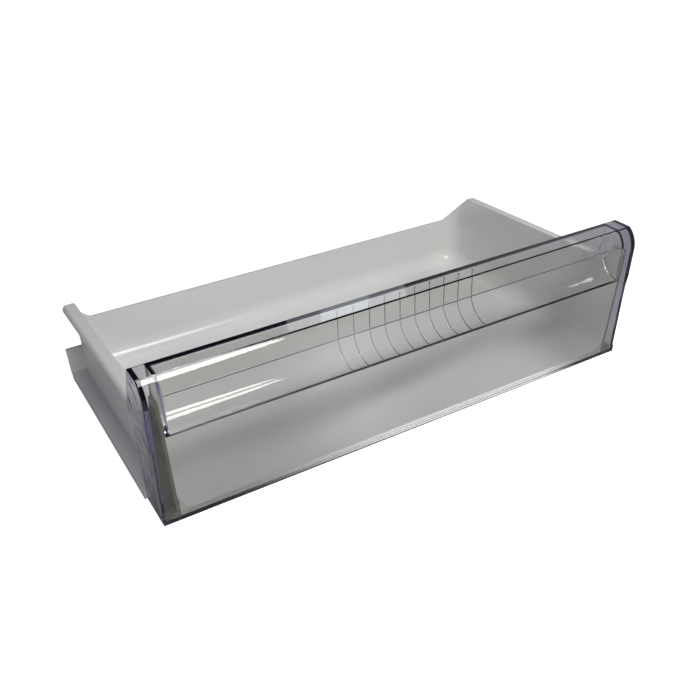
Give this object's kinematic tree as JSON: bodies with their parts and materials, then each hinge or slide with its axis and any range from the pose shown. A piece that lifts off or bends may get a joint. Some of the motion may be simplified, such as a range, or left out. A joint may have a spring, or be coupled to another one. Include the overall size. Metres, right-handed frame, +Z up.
{
  "type": "freezer drawer",
  "caption": "Shallow freezer drawer: a pale moulded tray with high sides, a low back and side runners, closed by a clear clip-on front that forms a full-width recessed handle.",
  "frame": {"origin": "centre of the bounding box, on the surface that the drawer stands on", "axes": "+X along the width, +Y from the clear front towards the back, +Z up"},
  "size_m": [0.458, 0.252, 0.128],
  "materials": {
    "tray_plastic": "satin moulded, pale grey-white",
    "clear_plastic": "polished, clear with a faint violet tint"
  },
  "bodies": {
    "root": {"drawer_tray": "tray_plastic", "front_panel": "clear_plastic"}
  },
  "joints": []
}
